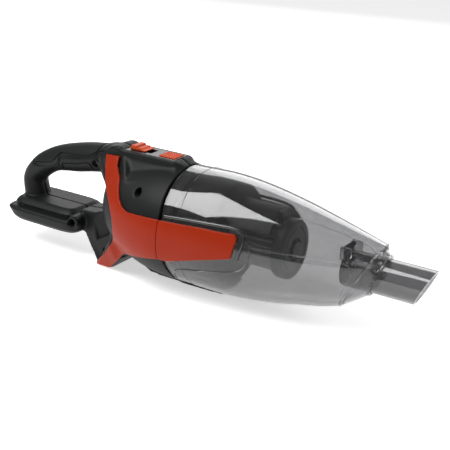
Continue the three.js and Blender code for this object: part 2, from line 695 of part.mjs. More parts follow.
function filterPleats() {
  const star = [];
  for (let i = 0; i < PLEAT_COUNT * 2; i++) {
    const angle = (i / PLEAT_COUNT) * Math.PI;
    const radius = i % 2 ? PLEAT_INNER_RADIUS : PLEAT_OUTER_RADIUS;
    star.push([radius * Math.cos(angle), radius * Math.sin(angle)]);
  }
  const shape = outline(star);
  shape.holes.push(new THREE.Path().absarc(0, 0, PLEAT_INNER_RADIUS - 4, 0, Math.PI * 2, true));
  const depth = FILTER_CAP_REAR - FILTER_COLLAR_END - 2 * GAP;
  const geometry = new THREE.ExtrudeGeometry(shape, { depth, bevelEnabled: false, curveSegments: 10 });
  return solid(geometry.rotateY(Math.PI / 2).translate(FILTER_COLLAR_END + GAP, 0, AXIS_Z));
}

function filterCap() {
  const end = FILTER_CAP_REAR + FILTER_CAP_LENGTH;
  const knob = 9;
  return turned([
    [FILTER_CAP_REAR, 0],
    [FILTER_CAP_REAR, FILTER_CAP_RADIUS],
    [end - 2, FILTER_CAP_RADIUS],
    [end, FILTER_CAP_RADIUS - 2],
    [end, knob + 2.5],
    [end - 2, knob + 2],
    [end - 2, knob],
    [end + 2, knob - 1],
    [end + 2, 0],
  ]);
}

// ---- suction unit -----------------------------------------------------------------------------------
const SPIGOT_REAR = BULKHEAD_FRONT + GAP;

function fanShroud() {
  const inner = SHROUD_RADIUS - SHROUD_WALL;
  const cover = turned([
    [SHROUD_REAR, inner],
    [SHROUD_REAR, SHROUD_RADIUS],
    [SPIGOT_REAR, SHROUD_RADIUS],
    [SPIGOT_REAR, SPIGOT_RADIUS],
    [SPIGOT_FRONT, SPIGOT_RADIUS],
    [SPIGOT_FRONT, SPIGOT_RADIUS - SPIGOT_WALL],
    [-3, SPIGOT_RADIUS - SPIGOT_WALL],
    [-3, SHROUD_INLET_RADIUS],
    [SPIGOT_REAR, SHROUD_INLET_RADIUS],
    [SPIGOT_REAR, inner],
  ]);
  const bars = [0, 1, 2].map((i) => {
    const bar = new THREE.BoxGeometry(2.5, 2 * SHROUD_INLET_RADIUS + 2, 2).rotateX((i * Math.PI) / 3);
    return solid(bar.translate(-4.25, 0, AXIS_Z));
  });
  return whole([cover, ...bars]);
}

function fanImpeller() {
  const back = -24;
  const hub = turned([
    [back, SHAFT_RADIUS + GAP],
    [back, FAN_RADIUS],
    [back + 2, FAN_RADIUS],
    [back + 4, 9],
    [-10, 7],
    [-10, SHAFT_RADIUS + GAP],
  ]);
  const blades = [];
  for (let i = 0; i < FAN_BLADES; i++) {
    const blade = new THREE.BoxGeometry(13, 1.6, FAN_RADIUS - 9).rotateX(0.45);
    blade.translate(back + 7.5, 5, (FAN_RADIUS + 7) / 2);
    blades.push(solid(blade.rotateX((i / FAN_BLADES) * 2 * Math.PI).translate(0, 0, AXIS_Z)));
  }
  return whole([hub, ...blades]).intersect(rodX(FAN_RADIUS, back, -8, AXIS_Z));
}

function motorMount() {
  const x0 = -MOTOR_FRONT - 3.5;
  const x1 = -MOTOR_FRONT;
  const ring = ringX(x0, x1, MOTOR_RADIUS + GAP, SHROUD_RADIUS - SHROUD_WALL - GAP);
  const holes = [0, 1, 2, 3].map((i) => {
    const angle = ((i + 0.5) / 4) * 2 * Math.PI;
    return rodX(6.5, x0 - 1, x1 + 1, AXIS_Z + 34 * Math.sin(angle), 8, 34 * Math.cos(angle));
  });
  return less(ring, ...holes);
}

const END_CAP_LENGTH = 10;
const shaftBore = () => rodX(SHAFT_RADIUS + GAP, -120, 0, AXIS_Z, 16);
const motorCan = () => less(rodX(MOTOR_RADIUS, MOTOR_REAR + END_CAP_LENGTH, -MOTOR_FRONT), shaftBore());
const motorEndCap = () =>
  less(rodX(MOTOR_RADIUS - 1, MOTOR_REAR, MOTOR_REAR + END_CAP_LENGTH - GAP), shaftBore());

// ---- controls ---------------------------------------------------------------------------------------
function consolePlate() {
  const floor = CONSOLE_TOP - PLATE_THICKNESS;
  const slot = SLIDER_HALF_WIDTH - 1.5;
  const buttonHole = BUTTON_HALF_WIDTH + GAP;
  const x = -BUTTON_REAR;
  return less(
    box(-PLATE_REAR, -PLATE_FRONT, -PLATE_HALF_WIDTH, PLATE_HALF_WIDTH, floor, CONSOLE_TOP),
    box(-SLIDER_REAR, -SLIDER_REAR + SLIDER_LENGTH + SLIDER_TRAVEL, -slot, slot, floor - 1, CONSOLE_TOP + 1),
    box(x - GAP, x + BUTTON_LENGTH + GAP, -buttonHole, buttonHole, floor - 1, CONSOLE_TOP + 1),
  );
}

function powerSlider() {
  const x = -SLIDER_REAR;
  const z = CONSOLE_TOP + GAP;
  const steps = [
    [x, z],
    [x + SLIDER_LENGTH, z],
    [x + SLIDER_LENGTH, z + 1],
    [x + 14, z + 1.2],
    [x + 12.5, z + 2.6],
    [x + 9.5, z + 2.6],
    [x + 8, z + 2],
    [x + 7, z + 4.2],
    [x + 1.5, z + 4.2],
    [x, z + 2],
  ];
  const stem = box(x + 3, x + 12, -SLIDER_STEM_HALF_WIDTH, SLIDER_STEM_HALF_WIDTH, SWITCH_TOP + GAP, z + 0.5);
  return whole([sideProfile(steps, -SLIDER_HALF_WIDTH, SLIDER_HALF_WIDTH), stem]);
}

const BUTTON_BOTTOM = CONSOLE_TOP - 9;

function releaseButton() {
  const x = -BUTTON_REAR;
  const end = x + BUTTON_LENGTH;
  const flangeTop = CONSOLE_TOP - PLATE_THICKNESS - GAP - 0.2;
  const flange = BUTTON_HALF_WIDTH + 1.6;
  return whole([
    box(x, end, -BUTTON_HALF_WIDTH, BUTTON_HALF_WIDTH, BUTTON_BOTTOM, CONSOLE_TOP + BUTTON_RISE),
    box(x - 1.5, end + 1.5, -flange, flange, BUTTON_BOTTOM, flangeTop),
  ]);
}

// The tooth waits just below the notch in the cup's tongue, and goes down with the release button.
const LATCH_TOP = BUTTON_BOTTOM - GAP;
const LATCH_BOTTOM = LATCH_TOP - 3.2;

function latchTooth() {
  const arm = TONGUE_BOTTOM - 1.8;
  return sideProfile(
    [
      [-BUTTON_REAR + 1, LATCH_BOTTOM],
      [TOOTH_FRONT, LATCH_BOTTOM],
      [TOOTH_FRONT, TONGUE_BOTTOM - GAP - 0.8],
      [TOOTH_REAR + 1, TONGUE_BOTTOM - GAP],
      [TOOTH_REAR, TONGUE_BOTTOM - GAP],
      [TOOTH_REAR, arm],
      [-BUTTON_REAR + BUTTON_LENGTH - 1, arm],
      [-BUTTON_REAR + BUTTON_LENGTH - 2, LATCH_TOP],
      [-BUTTON_REAR + 1, LATCH_TOP],
    ],
    -5,
    5,
  );
}

function coil(x, z0, z1, radius, wire, turns) {
  const points = [];
  const steps = turns * 8;
  for (let i = 0; i <= steps; i++) {
    const angle = (i / 8) * 2 * Math.PI;
    const z = THREE.MathUtils.lerp(z0 + wire, z1 - wire, i / steps);
    points.push(new THREE.Vector3(x + radius * Math.cos(angle), radius * Math.sin(angle), z));
  }
  return cable(points, wire, 5, steps);
}

function cable(points, radius, sides, steps) {
  const ring = [];
  for (let i = 0; i < sides; i++) {
    const angle = (i / sides) * 2 * Math.PI;
    ring.push([radius * Math.cos(angle), radius * Math.sin(angle)]);
  }
  const extrudePath = smoothCurve(points);
  return solid(new THREE.ExtrudeGeometry(outline(ring), { extrudePath, steps, bevelEnabled: false }));
}

// ---- small pieces -------------------------------------------------------------------------------------
function screw(x, z) {
  return whole([
    rodY(SCREW_HEAD_RADIUS, -SCREW_HEAD_Y - GAP - 2.4, -SCREW_HEAD_Y - GAP, x, z, 12),
    rodY(SCREW_RADIUS, -SCREW_HEAD_Y - 1, SCREW_LENGTH - SCREW_HEAD_Y - 1, x, z, 10),
  ]);
}

function ringX(x0, x1, inner, outer) {
  return turned([[x0, inner], [x0, outer], [x1, outer], [x1, inner]]);
}

const slideSwitch = () =>
  box(-77, -SLIDER_REAR + SLIDER_LENGTH + SLIDER_TRAVEL, -6, 6, SHELF_TOP + GAP, SWITCH_TOP);
const filterSeal = () =>
  ringX(-2.7, 0.7, SPIGOT_RADIUS - SPIGOT_WALL - 3, SPIGOT_RADIUS - SPIGOT_WALL - GAP);
const handleGrip = () => less(handle(0), handle(-GRIP_THICKNESS)).intersect(gripZone());

const CONTACT_Z = FOOT_BOTTOM + BATTERY_LIP + 4;
const CONTACT_PLACES = [-10, 0, 10];
const contact = (y) =>
  box(-BATTERY_SLOT_FRONT - 14, -BATTERY_SLOT_FRONT - 4.5, y - 0.5, y + 0.5, CONTACT_Z - 3, CONTACT_Z + 3);

function terminalBlock() {
  const x = -BATTERY_SLOT_FRONT;
  const slot = (y) => box(x - 9, x - 4, y - 0.8, y + 0.8, CONTACT_Z - 3.3, CONTACT_Z + 3.3);
  return less(
    box(x - 8, x - GAP, -17, 17, FOOT_BOTTOM + BATTERY_LIP + GAP, FOOT_BOTTOM + BATTERY_SLOT_DEPTH - GAP),
    ...CONTACT_PLACES.map(slot),
  );
}

// ---- assembly -----------------------------------------------------------------------------------------
const vacuum = new THREE.Group();

function place(name, piece, material) {
  const { numProp, numVert, vertProperties, triVerts } = piece.getMesh();
  const positions = new Float32Array(numVert * 3);
  for (let i = 0; i < numVert; i++) {
    positions.set(vertProperties.subarray(i * numProp, i * numProp + 3), i * 3);
  }
  const geometry = new THREE.BufferGeometry();
  geometry.setAttribute("position", new THREE.BufferAttribute(positions, 3));
  geometry.setIndex(new THREE.BufferAttribute(new Uint32Array(triVerts), 1));
  const mesh = new THREE.Mesh(geometry, material);
  mesh.name = name;
  vacuum.add(mesh);
}

const rightHalf = housing().intersect(box(-300, 300, -100, -HALF_GAP, -20, 200));
const screwCuts = SCREWS.map(([x, z]) => screwCut(x, z));
place("housing_right", less(rightHalf, ...screwCuts), charcoal);
place("housing_left", less(mirrored(rightHalf), ...screwCuts), charcoal);
place("side_panel_right", housingPanel(), orange);
place("side_panel_left", mirrored(housingPanel()), orange);
place("handle_grip", handleGrip(), softBlack);
place("console_plate", consolePlate(), black);
place("power_slider", powerSlider(), orange);
place("release_button", releaseButton(), orange);
place("latch_tooth", latchTooth(), black);
place("release_spring", coil(-35, SPRING_SEAT + GAP, LATCH_BOTTOM - GAP, 2.6, 0.5, 5), steel);
place("slide_switch", slideSwitch(), black);

place("dust_cup", dustCup(), smoke);
place("cup_panel_right", cupPanel(), orange);
place("cup_panel_left", mirrored(cupPanel()), orange);
place("nozzle_tube", nozzleTube(), smoke);
place("inlet_duct", inletDuct(), black);
place("inlet_flap", inletFlap(), rubber);
place("flap_pin", rodY(FLAP_PIN_RADIUS, -13.5, 13.5, FLAP_X - 1.6, FLAP_HINGE_Z, 10), steel);

place("filter_frame", filterFrame(), black);
place("filter_pleats", filterPleats(), paper);
place("filter_cap", filterCap(), black);
place("filter_seal", filterSeal(), rubber);
place("cup_seal", ringX(1, 4.5, SPIGOT_RADIUS + GAP, SEAM_HALF_HEIGHT - HOUSING_WALL - GAP), rubber);

place("fan_shroud", fanShroud(), black);
place("fan_impeller", fanImpeller(), steel);
place("motor_shaft", rodX(SHAFT_RADIUS, MOTOR_REAR - 3, -9, AXIS_Z, 16), steel);
place("motor_can", motorCan(), steel);
place("motor_end_cap", motorEndCap(), black);
place("front_motor_mount", motorMount(), rubber);

place("terminal_block", terminalBlock(), black);
CONTACT_PLACES.forEach((y, i) => place(`contact_blade_${i + 1}`, contact(y), copper));
SCREWS.forEach(([x, z], i) => place(`housing_screw_${i + 1}`, screw(x, z), steel));

const nozzleEnd = NOZZLE_TIP + NOZZLE_TIP_LEAN * NOZZLE_RADIUS;
vacuum.position.x = (FOOT_REAR - nozzleEnd) / 2;

export default vacuum;
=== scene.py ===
import json
import math

import bmesh
import bpy
from mathutils import Matrix, Vector


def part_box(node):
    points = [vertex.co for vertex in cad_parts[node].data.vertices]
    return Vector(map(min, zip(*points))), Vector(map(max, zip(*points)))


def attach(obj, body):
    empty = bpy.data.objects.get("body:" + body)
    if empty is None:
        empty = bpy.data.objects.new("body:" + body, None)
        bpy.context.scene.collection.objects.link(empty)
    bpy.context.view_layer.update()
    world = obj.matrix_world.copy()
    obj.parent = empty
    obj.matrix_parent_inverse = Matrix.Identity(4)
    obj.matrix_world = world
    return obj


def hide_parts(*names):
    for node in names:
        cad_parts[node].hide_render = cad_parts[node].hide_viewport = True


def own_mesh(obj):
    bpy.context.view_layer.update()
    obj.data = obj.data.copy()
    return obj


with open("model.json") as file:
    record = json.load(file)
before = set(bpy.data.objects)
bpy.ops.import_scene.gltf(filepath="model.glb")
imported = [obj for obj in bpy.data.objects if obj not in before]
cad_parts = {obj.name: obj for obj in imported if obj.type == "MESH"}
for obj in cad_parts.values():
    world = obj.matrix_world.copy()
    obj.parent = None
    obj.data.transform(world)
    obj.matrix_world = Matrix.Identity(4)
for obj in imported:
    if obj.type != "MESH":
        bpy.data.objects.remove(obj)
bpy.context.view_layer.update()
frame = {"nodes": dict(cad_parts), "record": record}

# Every piece is modelled in millimetres, with X measured from the seam between the motor housing and
# the dust cup, and is then brought to metres in the frame's place.
MM = 0.001
FOOT_REAR = 223.5
SEAM_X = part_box("housing_right")[0][0] + FOOT_REAR * MM
AXIS_Z = 59.5

# ---- driving sizes, the same as the frame's ----
SEAM_HALF_HEIGHT = 57
SEAM_HALF_WIDTH = 60
SEAM_LEAN = -0.12
HOUSING_LENGTH = 92
CUP_LENGTH = 178
CUP_WALL = 2.2
RIM_LEAN = 0.53
RIM_TOP = 86
RIM_BOTTOM = 19.5
RIM_HALF_WIDTH = 25
NOZZLE_Z = 57
NOZZLE_RADIUS = 16.9
NOZZLE_WALL = 2
NOZZLE_REAR = 172
NOZZLE_TIP = 235.5
NOZZLE_TIP_LEAN = 0.44
NOZZLE_ROOT = CUP_LENGTH + 15.5
NOZZLE_ROOT_LEAN = 0.32
FLAP_X = 163
HANDLE_HALF_WIDTH = 17
GRIP_THICKNESS = 1.6
CONSOLE_TOP = 121.5
CONSOLE_HALF_WIDTH = 16
PANEL_THICKNESS = 2.2
GAP = 0.3
SEAM_GAP = 0.4
SEAM_TOP = AXIS_Z + SEAM_HALF_HEIGHT
SEAM_BOTTOM = AXIS_Z - SEAM_HALF_HEIGHT

# x, top, bottom, half width and lean of each section
SEAM_STATION = (0, SEAM_TOP, SEAM_BOTTOM, SEAM_HALF_WIDTH, SEAM_LEAN)
HOUSING_STATIONS = [
    (-HOUSING_LENGTH, 94, 48, 24, 0),
    (-HOUSING_LENGTH + 3, 101, 38, 33, 0),
    (-HOUSING_LENGTH + 12, 107, 27, 43, 0),
    (-HOUSING_LENGTH + 28, 110, 15, 51, -0.03),
    (-HOUSING_LENGTH + 49, 113, SEAM_BOTTOM + 4, 56.5, -0.06),
    (-22, SEAM_TOP - 1, SEAM_BOTTOM + 0.5, SEAM_HALF_WIDTH - 0.5, -0.09),
    SEAM_STATION,
]
CUP_STATIONS = [
    SEAM_STATION,
    (38, SEAM_TOP + 0.7, SEAM_BOTTOM - 0.5, SEAM_HALF_WIDTH - 1, -0.06),
    (67, 114.4, 2.6, 56.3, 0),
    (104, 107.2, 6.6, 50, 0.08),
    (134, 98.6, 11.2, 42.5, 0.25),
    (159, 91.4, 15, 33.5, 0.4),
    (CUP_LENGTH, RIM_TOP, RIM_BOTTOM, RIM_HALF_WIDTH, RIM_LEAN),
]
POST_X = -207
ROUND_SIDES = 128  # the facets round the barrel, the cup and what is turned
SHARP_ANGLE = math.radians(35)  # edges sharper than this stay crisp
# x, z, half thickness and half width along the handle's middle
HANDLE_PATH = [
    (-66, 98, 14, HANDLE_HALF_WIDTH),
    (-94, 105.5, 17, HANDLE_HALF_WIDTH),
    (-110, 104, 15, HANDLE_HALF_WIDTH),
    (-130, 101, 15.2, HANDLE_HALF_WIDTH),
    (-146, 97.6, 15.2, HANDLE_HALF_WIDTH),
    (-162, 94.4, 14.2, HANDLE_HALF_WIDTH - 0.5),
    (-178, 89.5, 13, HANDLE_HALF_WIDTH - 1),
    (-195, 79.5, 12.5, HANDLE_HALF_WIDTH - 1.5),
    (POST_X, 66, 11.5, HANDLE_HALF_WIDTH - 2),
    (POST_X, 56, 11.8, HANDLE_HALF_WIDTH - 2),
    (POST_X + 2, 47, 12.5, HANDLE_HALF_WIDTH - 2),
    (POST_X + 3, 38, 12.5, HANDLE_HALF_WIDTH - 2),
]


# ---- solids ----
def body(bm):
    """The bmesh as an object in the scene."""
    mesh = bpy.data.meshes.new("work")
    bm.to_mesh(mesh)
    bm.free()
    obj = bpy.data.objects.new("work", mesh)
    bpy.context.scene.collection.objects.link(obj)
    return obj


def remove(obj):
    mesh = obj.data
    bpy.data.objects.remove(obj)
    bpy.data.meshes.remove(mesh)


def applied(obj, kind, **settings):
    """The object with a modifier's result as its mesh."""
    modifier = obj.modifiers.new(kind, kind)
    for name, value in settings.items():
        setattr(modifier, name, value)
    depsgraph = bpy.context.evaluated_depsgraph_get()
    mesh = bpy.data.meshes.new_from_object(obj.evaluated_get(depsgraph))
    obj.modifiers.clear()
    old = obj.data
    obj.data = mesh
    bpy.data.meshes.remove(old)
    return obj


def combine(base, operation, tools):
    for tool in tools:
        applied(base, "BOOLEAN", operation=operation, solver="MANIFOLD", object=tool)
        remove(tool)
    return base


def join(base, *tools):
    return combine(base, "UNION", tools)


def cut(base, *tools):
    return combine(base, "DIFFERENCE", tools)


def common(base, *tools):
    return combine(base, "INTERSECT", tools)


def copy_of(obj):
    twin = obj.copy()
    twin.data = obj.data.copy()
    bpy.context.scene.collection.objects.link(twin)
    return twin


def through(points, t):
    """The point for t, from 0 to 1, on a smooth curve through the points."""
    last = len(points) - 1
    i = min(int(t * last), last - 1)
    w = t * last - i
    p1, p2 = points[i], points[i + 1]
    p0 = points[i - 1] if i else 2 * p1 - p2
    p3 = points[i + 2] if i + 2 <= last else 2 * p2 - p1
    d0, d1, d2 = [math.sqrt((b - a).length) for a, b in ((p0, p1), (p1, p2), (p2, p3))]
    start = ((p1 - p0) / d0 - (p2 - p0) / (d0 + d1) + (p2 - p1) / d1) * d1
    end = ((p2 - p1) / d1 - (p3 - p1) / (d1 + d2) + (p3 - p2) / d2) * d1
    square, cube = w * w, w * w * w
    return (
        p1 * (2 * cube - 3 * square + 1)
        + start * (cube - 2 * square + w)
        + p2 * (3 * square - 2 * cube)
        + end * (cube - square)
    )


def loft(steps, sides, section):
    """A capped body through rings. section(t) gives the function that places a point of the unit circle."""
    bm = bmesh.new()
    bmesh.ops.create_circle(bm, segments=sides, radius=1)
    rings = [list(bm.verts)]
    first = edges = list(bm.edges)
    for _ in range(steps):
        made = bmesh.ops.extrude_edge_only(bm, edges=edges)["geom"]
        ring = [g for g in made if isinstance(g, bmesh.types.BMVert)]
        among = set(ring)
        edges = list({e for v in ring for e in v.link_edges if e.other_vert(v) in among})
        rings.append(ring)
    for i, ring in enumerate(rings):
        place = section(i / steps)
        for v in ring:
            v.co = place(v.co.x, v.co.y)
    bmesh.ops.contextual_create(bm, geom=first)
    bmesh.ops.contextual_create(bm, geom=edges)
    bmesh.ops.recalc_face_normals(bm, faces=bm.faces)
    return body(bm)


def station_at(stations, t, grow=0):
    top, bottom, half = [[Vector((s[0], s[k])) for s in stations] for k in (1, 2, 3)]
    lean = [Vector((s[0], s[4] * 100)) for s in stations]
    high, low = through(top, t), through(bottom, t)
    middle, rise = (high.y + low.y) / 2, (high.y - low.y) / 2 + grow
    return high.x, middle, rise, through(half, t).y + grow, through(lean, t).y / 100


def station_loft(stations, grow=0, end_grow=0):
    """A body lofted along X through the stations, grown round them and at its ends by offsets."""
    def section(t):
        x, middle, rise, half, lean = station_at(stations, t, grow)
        push = (2 * t - 1) * end_grow
        return lambda a, b: (x + push + lean * b * rise, a * half, middle + b * rise)

    return loft(60, ROUND_SIDES, section)


def swept_bar(points, grow=0):
    """A bar of oval section along the middle plane."""
    line = [Vector((x, z)) for x, z, _, _ in points]
    size = [Vector((thick, wide, i)) for i, (_, _, thick, wide) in enumerate(points)]

    def section(t):
        centre = through(line, t)
        ahead = through(line, min(t + 0.002, 1)) - through(line, max(t - 0.002, 0))
        ahead.normalize()
        thick, wide, _ = through(size, t)
        return lambda a, b: (
            centre.x - ahead.y * b * (thick + grow),
            a * (wide + grow),
            centre.y + ahead.x * b * (thick + grow),
        )

    return loft(90, 64, section)


def prism(points, y0, y1):
    """A profile in X and Z that runs across Y."""
    bm = bmesh.new()
    face = bm.faces.new([bm.verts.new((x, y0, z)) for x, z in points])
    made = bmesh.ops.extrude_face_region(bm, geom=[face])["geom"]
    top = [g for g in made if isinstance(g, bmesh.types.BMVert)]
    bmesh.ops.translate(bm, verts=top, vec=(0, y1 - y0, 0))
    bmesh.ops.recalc_face_normals(bm, faces=bm.faces)
    return body(bm)


def tapered_prism(points, grow=0):
    """A profile whose half width differs from point to point."""
    obj = prism([(x, z) for x, z, _ in points], -1, 1)
    for v in obj.data.vertices:
        half = min(points, key=lambda p: math.hypot(p[0] - v.co.x, p[1] - v.co.z))[2]
        v.co.y = math.copysign(half + grow, v.co.y)
    return obj


def plan_prism(points, z0, z1):
    """An outline in X and Y that stands from z0 to z1."""
    bm = bmesh.new()
    face = bm.faces.new([bm.verts.new((x, y, z0)) for x, y in points])
    made = bmesh.ops.extrude_face_region(bm, geom=[face])["geom"]
    top = [g for g in made if isinstance(g, bmesh.types.BMVert)]
    bmesh.ops.translate(bm, verts=top, vec=(0, 0, z1 - z0))
    bmesh.ops.recalc_face_normals(bm, faces=bm.faces)
    return body(bm)


def block(x0, x1, y0, y1, z0, z1):
    return prism([(x0, z0), (x1, z0), (x1, z1), (x0, z1)], y0, y1)


def rod(radius, start, end, sides=64):
    """A round bar between two points."""
    start, end = Vector(start), Vector(end)
    turn = (end - start).to_track_quat("Z", "Y").to_matrix().to_4x4()
    bm = bmesh.new()
    bmesh.ops.create_cone(
        bm, cap_ends=True, segments=sides, radius1=radius, radius2=radius, depth=(end - start).length
    )
    bmesh.ops.transform(bm, matrix=Matrix.Translation((start + end) / 2) @ turn, verts=bm.verts)
    return body(bm)


def turned(points):
    """A ring or cup turned about the motor axis, from points (x, radius) that close on themselves."""
    bm = bmesh.new()
    verts = [bm.verts.new((x, 0, radius)) for x, radius in points]
    edges = [bm.edges.new((verts[i - 1], verts[i])) for i in range(len(verts))]
    bmesh.ops.spin(
        bm,
        geom=verts + edges,
        axis=(1, 0, 0),
        cent=(0, 0, 0),
        angle=2 * math.pi,
        steps=ROUND_SIDES,
        use_merge=True,
    )
    bmesh.ops.remove_doubles(bm, verts=bm.verts, dist=0.001)
    bmesh.ops.recalc_face_normals(bm, faces=bm.faces)
    bmesh.ops.translate(bm, verts=bm.verts, vec=(0, 0, AXIS_Z))
    return body(bm)


def bead(points, radius, sides, close=False):
    """A fine round bead through points."""
    bm = bmesh.new()
    rings = []
    count = len(points)
    for i, point in enumerate(points):
        before = points[i - 1] if i or close else point
        after = points[(i + 1) % count] if i + 1 < count or close else point
        turn = (after - before).to_track_quat("Z", "Y").to_matrix().to_4x4()
        ring = bmesh.ops.create_circle(bm, segments=sides, radius=radius, cap_ends=False)["verts"]
        bmesh.ops.transform(bm, matrix=Matrix.Translation(point) @ turn, verts=ring)
        rings.append(ring)
    loops = [list({e for v in ring for e in v.link_edges}) for ring in rings]
    for i in range(count if close else count - 1):
        bmesh.ops.bridge_loops(bm, edges=loops[i] + loops[(i + 1) % count])
    if not close:
        bmesh.ops.contextual_create(bm, geom=loops[0])
        bmesh.ops.contextual_create(bm, geom=loops[-1])
    bmesh.ops.recalc_face_normals(bm, faces=bm.faces)
    return body(bm)


def moulded(obj, voxel, rounds):
    """The body as an even fine mesh, its edges rounded as a moulding's are."""
    applied(obj, "REMESH", mode="VOXEL", voxel_size=voxel)
    bm = bmesh.new()
    bm.from_mesh(obj.data)
    for _ in range(rounds):
        bmesh.ops.smooth_vert(
            bm, verts=bm.verts, factor=0.5, use_axis_x=True, use_axis_y=True, use_axis_z=True
        )
    bm.to_mesh(obj.data)
    bm.free()
    return obj


def mirrored(obj):
    """A copy on the other side of the middle plane."""
    twin = copy_of(obj)
    bm = bmesh.new()
    bm.from_mesh(twin.data)
    bmesh.ops.scale(bm, vec=(1, -1, 1), verts=bm.verts)
    bmesh.ops.recalc_face_normals(bm, faces=bm.faces)
    bm.to_mesh(twin.data)
    bm.free()
    return twin


def cad_copy(node):
    """A merged copy of a frame node's mesh, in the modelling units."""
    bm = bmesh.new()
    bm.from_mesh(frame["nodes"][node].data)
    bmesh.ops.remove_doubles(bm, verts=bm.verts, dist=1e-6)
    bmesh.ops.translate(bm, verts=bm.verts, vec=(-SEAM_X, 0, 0))
    bmesh.ops.scale(bm, vec=(1 / MM, 1 / MM, 1 / MM), verts=bm.verts)
    return body(bm)


def piece(obj, name, material, body_name, replaced=()):
    """Brings a finished body to metres in the frame and says what it stands for."""
    obj.name = obj.data.name = name
    obj.data.transform(Matrix.Translation((SEAM_X, 0, 0)) @ Matrix.Scale(MM, 4))
    obj.data.materials.clear()
    obj.data.materials.append(material)
    obj.data.shade_smooth()
    obj.data.set_sharp_from_angle(angle=SHARP_ANGLE)
    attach(obj, body_name)
    if replaced:
        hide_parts(*replaced)
    return obj


def both_sides(right, name, material, body_name, node):
    """A finished right piece and its mirror image, each in place of its own frame node."""
    left = mirrored(right)
    for obj, side in ((right, "right"), (left, "left")):
        piece(obj, f"{name}_{side}", material, body_name, [f"{node}_{side}"])


# ---- materials ----
def linear(code):
    """An sRGB hex colour as linear red, green, blue and alpha."""
    parts = [int(code[i:i + 2], 16) / 255 for i in (1, 3, 5)]
    return [c / 12.92 if c <= 0.04045 else ((c + 0.055) / 1.055) ** 2.4 for c in parts] + [1]


def add(tree, kind, values=None, links=None, **settings):
    """Adds a node with its settings, socket values and incoming links."""
    made = tree.nodes.new("ShaderNode" + kind)
    for name, value in settings.items():
        setattr(made, name, value)
    for name, value in (values or {}).items():
        made.inputs[name].default_value = value
    for name, socket in (links or {}).items():
        tree.links.new(socket, made.inputs[name])
    return made


def finish_of(name, colours, roughness, grain_mm, bump, constants=None, patch_mm=25):
    """A material whose colour drifts between two tones, with a grain of a real size."""
    material = bpy.data.materials.new(name)
    material.use_nodes = True
    tree = material.node_tree
    tree.nodes.clear()
    place = add(tree, "TexCoord").outputs["Object"]
    patch = add(tree, "TexNoise", {"Scale": 1 / (patch_mm * MM), "Detail": 3}, {"Vector": place})
    # A Mix node's inputs 0, 6 and 7 are its factor and its two colours
    ends = {6: linear(colours[0]), 7: linear(colours[1])}
    tone = add(tree, "Mix", ends, {0: patch.outputs[0]}, data_type="RGBA")
    grain = add(tree, "TexNoise", {"Scale": 1 / (grain_mm * MM), "Detail": 2}, {"Vector": place})
    low, high = roughness
    gloss = add(tree, "MapRange", {"To Min": low, "To Max": high}, {"Value": grain.outputs[0]})
    dents = add(tree, "Bump", {"Strength": bump, "Distance": 0.1 * MM}, {"Height": grain.outputs[0]})
    shader = add(
        tree,
        "BsdfPrincipled",
        constants,
        {"Base Color": tone.outputs[2], "Roughness": gloss.outputs[0], "Normal": dents.outputs[0]},
    )
    add(tree, "OutputMaterial", links={"Surface": shader.outputs[0]})
    return material


def dull(level):
    """The shader settings of a plastic that shines less than its bare resin."""
    return {"Specular IOR Level": level}


METAL = {"Metallic": 1.0}
GLOSSY_PLASTIC = {"IOR": 1.53}
CLEAR_RESIN = {"IOR": 1.55, "Transmission Weight": 1.0}

# Spark-eroded ABS: an even, fine, satin grain that keeps highlights broad
charcoal_abs = finish_of("charcoal_abs", ("#131415", "#18191A"), (0.4, 0.52), 1.1, 0.25, dull(0.17))
# ABS dyed in the mass, from a smoother tool: a finer grain and a soft shine
orange_abs = finish_of("orange_abs", ("#902102", "#982705"), (0.34, 0.42), 1.3, 0.08, dull(0.15))
# The pressed parts are moulded in a lighter batch
button_abs = finish_of("button_abs", ("#BA3E12", "#C2461A"), (0.4, 0.5), 1.2, 0.1, dull(0.2))
# Thermoplastic elastomer: matt, slightly dusty
soft_tpe = finish_of("soft_tpe", ("#121314", "#161718"), (0.52, 0.64), 1.0, 0.3, dull(0.17))
# Glass-filled nylon inside the cup: a shine broken up by its fibres
black_nylon = finish_of("black_nylon", ("#131415", "#18191A"), (0.38, 0.5), 1.2, 0.2, GLOSSY_PLASTIC)
# Lids and plates from a finer, slightly shinier tool
cap_abs = finish_of("cap_abs", ("#454647", "#4E4F50"), (0.35, 0.45), 1.4, 0.1, GLOSSY_PLASTIC)
plate_abs = finish_of("plate_abs", ("#131415", "#18191A"), (0.3, 0.4), 1.4, 0.08, GLOSSY_PLASTIC)
# Bonded polyester fleece, folded: dry and pale, with a little sheen from its fibres
filter_felt = finish_of(
    "filter_felt", ("#9C9C9A", "#AEAEAB"), (0.85, 0.95), 0.9, 0.6, {"Sheen Weight": 0.2}
)
# Nitrile rubber: nearly black and matt
nitrile = finish_of("nitrile", ("#1A1A1B", "#202021"), (0.6, 0.7), 1.0, 0.2)
# Drawn, plated, cast and stamped metals: bright, with highlights as wide as their surface is rough
drawn_steel = finish_of("drawn_steel", ("#8D8F91", "#A3A5A7"), (0.25, 0.35), 0.8, 0.1, METAL)
zinc_plate = finish_of("zinc_plate", ("#A7A9AB", "#B9BBBC"), (0.3, 0.42), 0.8, 0.15, METAL)
cast_aluminium = finish_of("cast_aluminium", ("#B9BCBE", "#C6C8CA"), (0.3, 0.4), 0.8, 0.15, METAL)
stamped_copper = finish_of("stamped_copper", ("#B36B3B", "#C27A48"), (0.25, 0.35), 0.8, 0.1, METAL)
# Smoke-tinted polycarbonate, polished: clear enough to show the filter, with mirror-like streaks
smoke_clear = finish_of("smoke_clear", ("#B4B4B5", "#BABABB"), (0.03, 0.07), 8.0, 0.02, CLEAR_RESIN)
